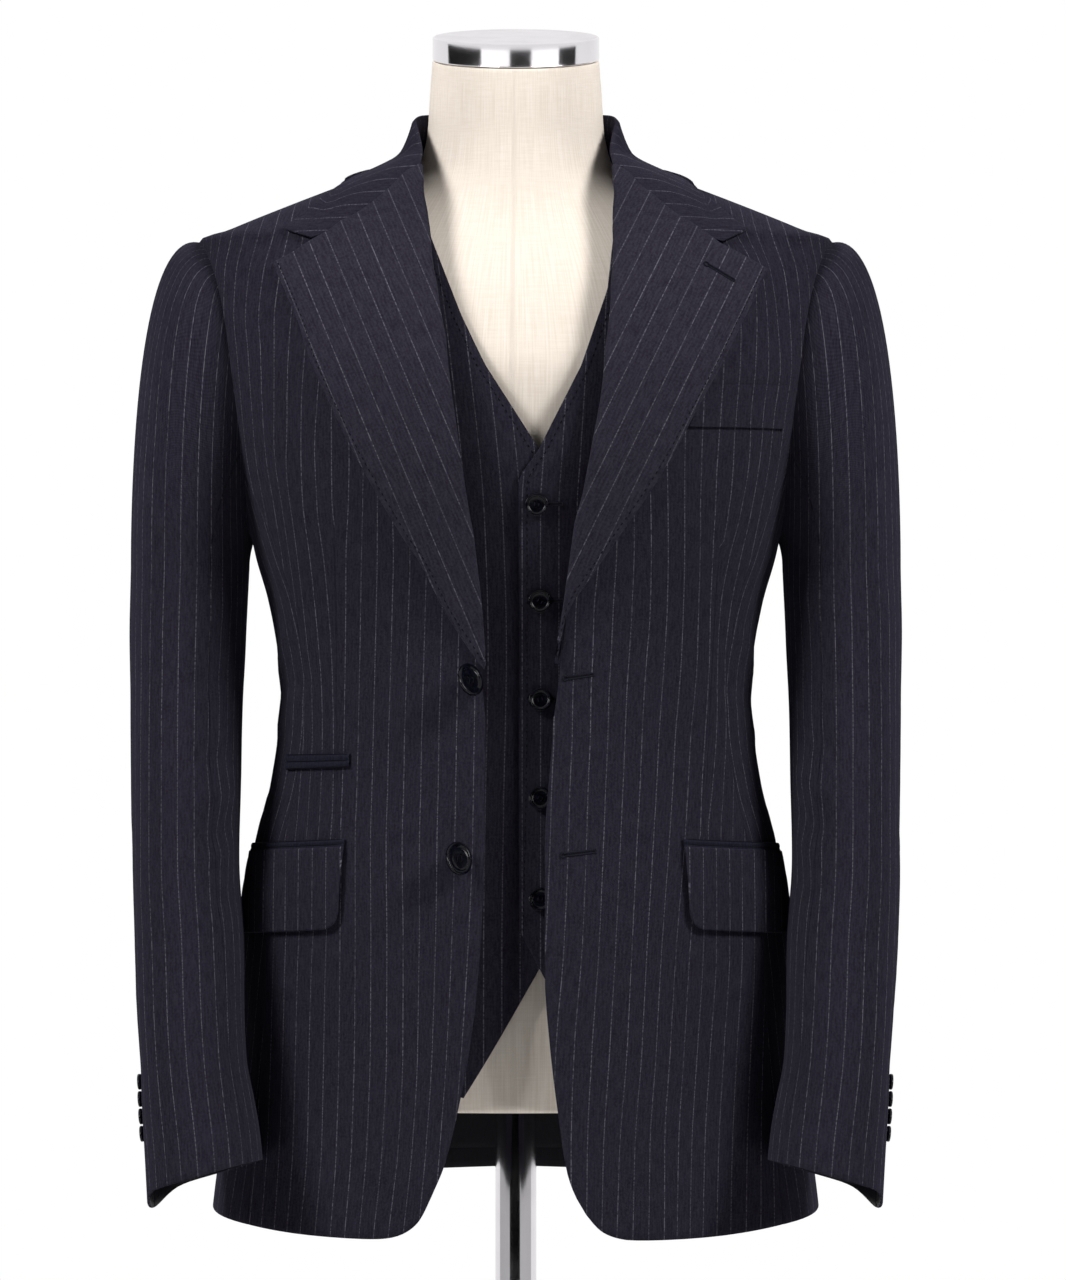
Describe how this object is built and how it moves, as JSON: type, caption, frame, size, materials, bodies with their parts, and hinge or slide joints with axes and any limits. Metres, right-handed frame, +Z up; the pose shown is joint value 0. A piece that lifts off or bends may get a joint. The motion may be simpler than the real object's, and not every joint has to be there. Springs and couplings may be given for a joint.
{
  "type": "suit jacket and waistcoat on a dress form",
  "caption": "Open pinstripe suit jacket with wide notch lapels over a matching waistcoat, worn by a limbless linen dress form on a chrome pole and round base.",
  "frame": {"origin": "centre of the base's underside, where the stand meets the floor", "axes": "+Z up, the garment's front faces -Y, +X is the wearer's left"},
  "size_m": [0.5364, 0.34, 1.4163],
  "materials": {
    "pinstripe_wool": "matt worsted wool with a fine broken chalk stripe",
    "waistcoat_wool": "matt worsted wool with a fine broken chalk stripe",
    "plain_jetting": "plain dark navy wool",
    "dark_lining": "smooth satin lining",
    "navy_button": "polished resin",
    "cream_linen": "fine ribbed linen",
    "chrome": "polished, the cap's top brushed",
    "base_plate": "satin"
  },
  "bodies": {
    "root": {"back_lining": "dark_lining", "base": "base_plate", "chest_welt": "pinstripe_wool", "cuff_button_left_1": "navy_button", "cuff_button_left_2": "navy_button", "cuff_button_left_3": "navy_button", "cuff_button_left_4": "navy_button", "cuff_button_right_1": "navy_button", "cuff_button_right_2": "navy_button", "cuff_button_right_3": "navy_button", "cuff_button_right_4": "navy_button", "flap_left": "pinstripe_wool", "flap_right": "pinstripe_wool", "form_torso": "cream_linen", "hip_jets_left": "plain_jetting", "hip_jets_right": "plain_jetting", "jacket_back_left": "pinstripe_wool", "jacket_back_right": "pinstripe_wool", "jacket_button_1": "navy_button", "jacket_button_2": "navy_button", "jacket_collar": "pinstripe_wool", "jacket_front_left": "pinstripe_wool", "jacket_front_right": "pinstripe_wool", "jacket_side_left": "pinstripe_wool", "jacket_side_right": "pinstripe_wool", "lapel_left": "pinstripe_wool", "lapel_right": "pinstripe_wool", "neck_cap": "chrome", "pole": "chrome", "sleeve_top_left": "pinstripe_wool", "sleeve_top_right": "pinstripe_wool", "sleeve_under_left": "pinstripe_wool", "sleeve_under_right": "pinstripe_wool", "ticket_jets": "plain_jetting", "waistcoat_back": "dark_lining", "waistcoat_button_1": "navy_button", "waistcoat_button_2": "navy_button", "waistcoat_button_3": "navy_button", "waistcoat_button_4": "navy_button", "waistcoat_button_5": "navy_button", "waistcoat_front_left": "waistcoat_wool", "waistcoat_front_right": "waistcoat_wool"}
  },
  "joints": []
}
